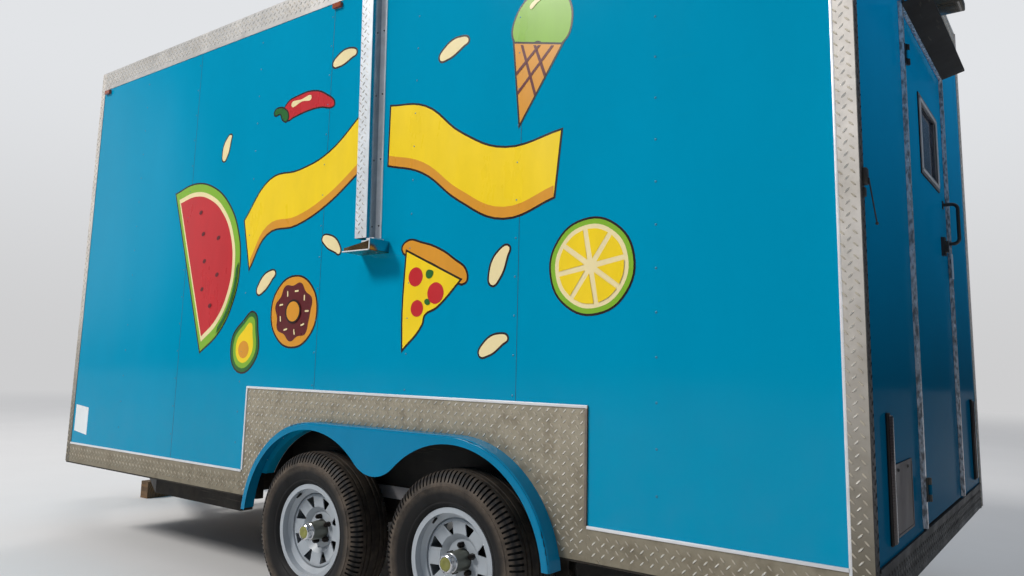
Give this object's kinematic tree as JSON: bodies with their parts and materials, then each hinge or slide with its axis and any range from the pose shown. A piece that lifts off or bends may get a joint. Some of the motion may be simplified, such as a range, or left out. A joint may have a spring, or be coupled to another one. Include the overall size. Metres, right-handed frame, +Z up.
{
  "type": "food trailer",
  "caption": "Tandem-axle box trailer for serving food: rear door, kerb-side serving hatch with a folding shelf, bright lower trim, teardrop fenders and a tongue jack on a block.",
  "frame": {"origin": "on the ground, under the middle of the trailer's bounding box", "axes": "+X backwards, away from the coupler; +Y to the kerb side with the serving hatch; +Z up"},
  "size_m": [6.3586, 2.6342, 3.0848],
  "materials": {
    "frame_paint": "black frame enamel, dusty",
    "spring_steel": "dark spring steel",
    "zinc": "zinc plated steel",
    "timber": "sawn softwood, weathered",
    "floor_board": "plywood deck, sealed",
    "wall_blue": "glossy teal blue sheet",
    "roof_white": "white roof sheet",
    "well_black": "black sheet steel",
    "bright_plate": "patterned bright sheet",
    "bright_fitting": "mill finish extrusion",
    "glass": "clear glazing",
    "black_fitting": "black hardware",
    "visor_dark": "weathered sheet",
    "lamp_red": "dark red lens",
    "lamp_amber": "amber lens",
    "lamp_case": "cast lamp case",
    "plate_blank": "bare plate",
    "shelf_steel": "brushed shelf",
    "tyre": "road tyre, dusty",
    "wheel_white": "white wheel enamel",
    "hub_dark": "dark hub, bright cap"
  },
  "bodies": {
    "trailer": {"main_rails": "frame_paint", "side_sills": "frame_paint", "cross_members": "frame_paint", "tongue_frame": "frame_paint", "spring_hangers": "frame_paint", "leaf_springs": "spring_steel", "axles": "frame_paint", "coupler": "zinc", "jack_tube": "zinc", "jack_block": "timber", "floor_deck": "floor_board", "wall_street": "wall_blue", "wall_kerb": "wall_blue", "wall_front": "wall_blue", "wall_rear": "wall_blue", "roof": "roof_white", "wheel_wells": "well_black", "fenders": "wall_blue", "wheel_panels": "bright_plate", "skirt_trim": "bright_plate", "roof_trim": "bright_plate", "corner_trims": "bright_plate", "door_hinges": "black_fitting", "door_trim": "bright_fitting", "door_visor": "visor_dark", "tail_lights": "lamp_red", "number_plate": "plate_blank", "marker_lights": "lamp_amber", "flood_light": "lamp_case", "door_holdback": "black_fitting", "wall_channel": "bright_plate", "channel_bracket": "bright_fitting", "hatch_hinge": "bright_fitting", "serving_frame": "bright_fitting", "serving_glass": "glass", "shelf_brackets": "bright_fitting"},
    "rear_door": {"door_leaf": "wall_blue", "door_window_frame": "bright_fitting", "door_glass": "glass", "door_latch": "black_fitting", "grab_handle": "black_fitting"},
    "serving_hatch": {"hatch_leaf": "wall_blue"},
    "counter_shelf": {"serving_shelf": "shelf_steel"},
    "jack_leg": {"jack_leg": "zinc"},
    "wheel_front_street": {"tyre_front_street": "tyre", "wheel_front_street": "wheel_white", "hub_front_street": "hub_dark"},
    "wheel_front_kerb": {"tyre_front_kerb": "tyre", "wheel_front_kerb": "wheel_white", "hub_front_kerb": "hub_dark"},
    "wheel_rear_street": {"tyre_rear_street": "tyre", "wheel_rear_street": "wheel_white", "hub_rear_street": "hub_dark"},
    "wheel_rear_kerb": {"tyre_rear_kerb": "tyre", "wheel_rear_kerb": "wheel_white", "hub_rear_kerb": "hub_dark"}
  },
  "joints": [
    {"name": "rear_door_swing", "type": "hinge", "parent": "trailer", "child": "rear_door", "pos_m": [3.0338, -0.4209, 1.5605], "axis": [0, 0, -1], "range_deg": [0, 165]},
    {"name": "serving_hatch_lift", "type": "hinge", "parent": "trailer", "child": "serving_hatch", "pos_m": [0.5743, 1.2511, 2.5], "axis": [1, 0, 0], "range_deg": [0, 95]},
    {"name": "counter_shelf_fold", "type": "hinge", "parent": "trailer", "child": "counter_shelf", "pos_m": [0.5743, 1.2611, 1.53], "axis": [1, 0, 0], "range_deg": [0, 90]},
    {"name": "jack_leg_slide", "type": "slide", "parent": "trailer", "child": "jack_leg", "axis": [0, 0, 1], "range_m": [0, 0.155]},
    {"name": "wheel_front_street_spin", "type": "hinge", "parent": "trailer", "child": "wheel_front_street", "pos_m": [0.6223, -1.1609, 0.352], "axis": [0, 1, 0], "continuous": true},
    {"name": "wheel_front_kerb_spin", "type": "hinge", "parent": "trailer", "child": "wheel_front_kerb", "pos_m": [0.6223, 1.2051, 0.352], "axis": [0, 1, 0], "continuous": true},
    {"name": "wheel_rear_street_spin", "type": "hinge", "parent": "trailer", "child": "wheel_rear_street", "pos_m": [1.4723, -1.1609, 0.352], "axis": [0, 1, 0], "continuous": true},
    {"name": "wheel_rear_kerb_spin", "type": "hinge", "parent": "trailer", "child": "wheel_rear_kerb", "pos_m": [1.4723, 1.2051, 0.352], "axis": [0, 1, 0], "continuous": true}
  ]
}
